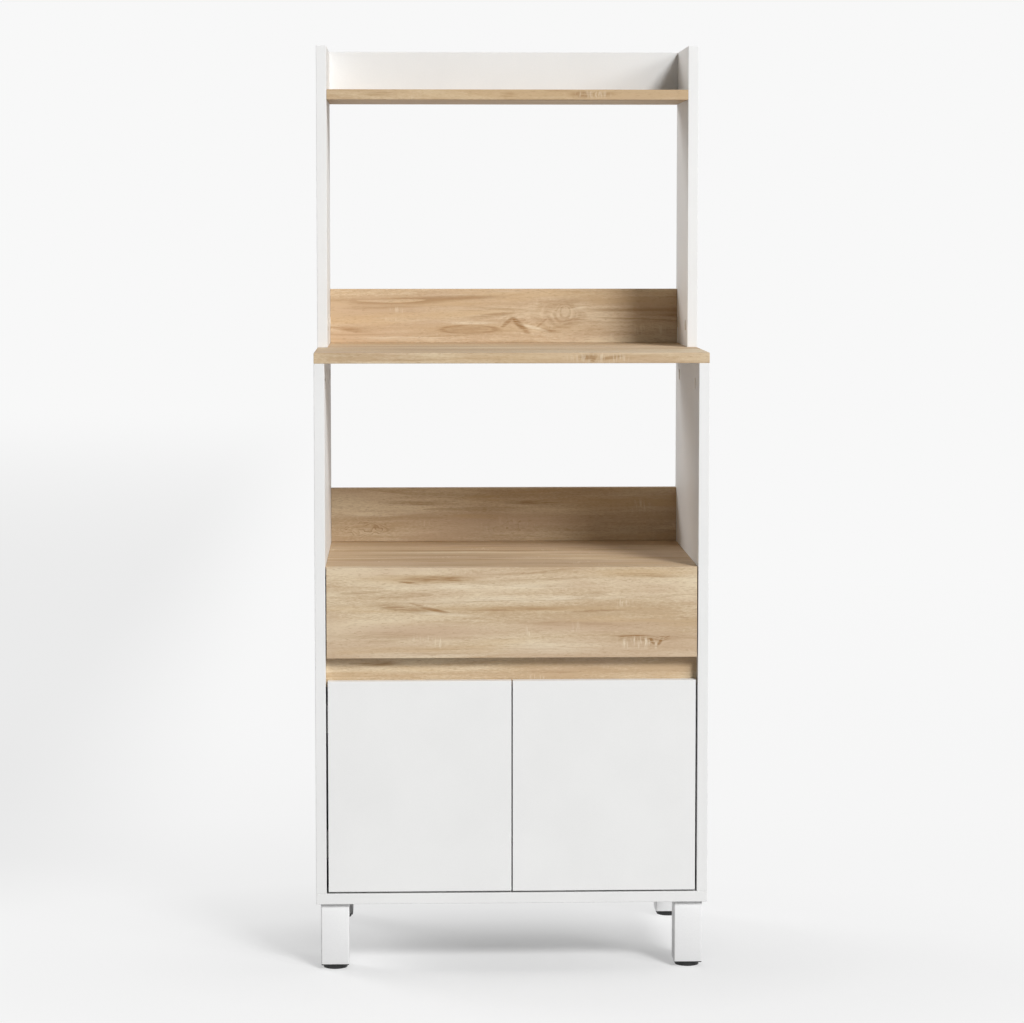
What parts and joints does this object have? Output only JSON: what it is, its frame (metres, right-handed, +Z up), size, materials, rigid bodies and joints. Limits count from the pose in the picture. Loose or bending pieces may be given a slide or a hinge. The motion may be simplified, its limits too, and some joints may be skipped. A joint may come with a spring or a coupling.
{
  "type": "microwave cabinet",
  "caption": "Tall narrow board cabinet on square legs, with a drawer, double doors, an open microwave bay and a shallower open shelf unit above.",
  "frame": {"origin": "on the floor, in the middle of the cabinet's footprint", "axes": "+X to the cabinet's right as seen from the front, -Y out of its front, +Z up"},
  "size_m": [0.6, 0.4, 1.4202],
  "materials": {
    "white_board": "white melamine-faced chipboard, faint satin sheen",
    "oak_board": "light oak melamine with darker streaks and a brushed feel",
    "white_hardboard": "white-faced thin hardboard, matt",
    "leg_white": "white satin paint",
    "glide_black": "black moulded plastic",
    "cover_plastic": "off-white moulded cap",
    "runner_white": "white epoxy coat",
    "roller_nylon": "natural nylon",
    "hinge_steel": "nickel-plated pressed steel",
    "clear_buffer": "translucent soft buffer"
  },
  "bodies": {
    "cabinet": {"leg_front_left": "leg_white", "leg_front_right": "leg_white", "leg_rear_left": "leg_white", "leg_rear_right": "leg_white", "glide_front_left": "glide_black", "glide_front_right": "glide_black", "glide_rear_left": "glide_black", "glide_rear_right": "glide_black", "bottom_panel": "white_board", "lower_side_left": "white_board", "lower_side_right": "white_board", "back_board": "white_hardboard", "worktop": "oak_board", "finger_rail": "oak_board", "lower_backsplash": "oak_board", "mid_shelf": "oak_board", "upper_side_left": "white_board", "upper_side_right": "white_board", "top_shelf": "oak_board", "top_back_rail": "white_board", "mid_backsplash": "oak_board", "cam_cover_lower_front_left": "cover_plastic", "cam_cover_lower_front_right": "cover_plastic", "cam_cover_lower_rear_left": "cover_plastic", "cam_cover_lower_rear_right": "cover_plastic", "cam_cover_upper_front_left": "cover_plastic", "cam_cover_upper_front_right": "cover_plastic", "cam_cover_upper_rear_left": "cover_plastic", "cam_cover_upper_rear_right": "cover_plastic", "cabinet_runner_left": "runner_white", "cabinet_runner_right": "runner_white", "hinge_arm_lower_left": "hinge_steel", "hinge_arm_upper_left": "hinge_steel", "hinge_arm_lower_right": "hinge_steel", "hinge_arm_upper_right": "hinge_steel", "door_bumper_left": "clear_buffer", "door_bumper_right": "clear_buffer"},
    "drawer": {"drawer_front": "oak_board", "drawer_side_left": "white_board", "drawer_side_right": "white_board", "drawer_back": "white_board", "drawer_bottom": "white_hardboard", "drawer_runner_left": "runner_white", "drawer_runner_right": "runner_white"},
    "front_roller_left": {"roller_front_left": "roller_nylon"},
    "front_roller_right": {"roller_front_right": "roller_nylon"},
    "rear_roller_left": {"roller_rear_left": "roller_nylon"},
    "rear_roller_right": {"roller_rear_right": "roller_nylon"},
    "left_links": {"hinge_link_lower_left": "hinge_steel", "hinge_link_upper_left": "hinge_steel"},
    "right_links": {"hinge_link_lower_right": "hinge_steel", "hinge_link_upper_right": "hinge_steel"},
    "left_door": {"door_left": "white_board", "hinge_cup_lower_left": "hinge_steel", "hinge_cup_upper_left": "hinge_steel"},
    "right_door": {"door_right": "white_board", "hinge_cup_lower_right": "hinge_steel", "hinge_cup_upper_right": "hinge_steel"}
  },
  "joints": [
    {"name": "drawer_slide", "type": "slide", "parent": "cabinet", "child": "drawer", "axis": [0, -1, 0], "range_m": [0, 0.26]},
    {"name": "front_roller_left_spin", "type": "hinge", "parent": "cabinet", "child": "front_roller_left", "pos_m": [-0.27775, -0.17195, 0.5196], "axis": [1, 0, 0], "range_deg": [-10, 1580]},
    {"name": "front_roller_right_spin", "type": "hinge", "parent": "cabinet", "child": "front_roller_right", "pos_m": [0.27775, -0.17195, 0.5196], "axis": [1, 0, 0], "range_deg": [-10, 1580]},
    {"name": "rear_roller_left_spin", "type": "hinge", "parent": "drawer", "child": "rear_roller_left", "pos_m": [-0.27775, 0.15405, 0.5176], "axis": [1, 0, 0], "range_deg": [-10, 1580]},
    {"name": "rear_roller_right_spin", "type": "hinge", "parent": "drawer", "child": "rear_roller_right", "pos_m": [0.27775, 0.15405, 0.5176], "axis": [1, 0, 0], "range_deg": [-10, 1580]},
    {"name": "left_link_turn", "type": "hinge", "parent": "cabinet", "child": "left_links", "pos_m": [-0.257, -0.1938, 0.2846], "axis": [0, 0, -1], "range_deg": [-19, 0]},
    {"name": "left_door_swing", "type": "hinge", "parent": "left_links", "child": "left_door", "pos_m": [-0.2728, -0.1939, 0.2846], "axis": [0, 0, -1], "range_deg": [0, 108]},
    {"name": "right_link_turn", "type": "hinge", "parent": "cabinet", "child": "right_links", "pos_m": [0.257, -0.1938, 0.2846], "axis": [0, 0, 1], "range_deg": [-19, 0]},
    {"name": "right_door_swing", "type": "hinge", "parent": "right_links", "child": "right_door", "pos_m": [0.2728, -0.1939, 0.2846], "axis": [0, 0, 1], "range_deg": [0, 108]}
  ],
  "couplings": [
    {"joint": "front_roller_left_spin", "follows": "drawer_slide", "rad_per_m": 105.26},
    {"joint": "front_roller_right_spin", "follows": "drawer_slide", "rad_per_m": 105.26},
    {"joint": "rear_roller_left_spin", "follows": "drawer_slide", "rad_per_m": 105.26},
    {"joint": "rear_roller_right_spin", "follows": "drawer_slide", "rad_per_m": 105.26},
    {"joint": "left_link_turn", "follows": "left_door_swing", "ratio": -0.16667},
    {"joint": "right_link_turn", "follows": "right_door_swing", "ratio": -0.16667}
  ]
}
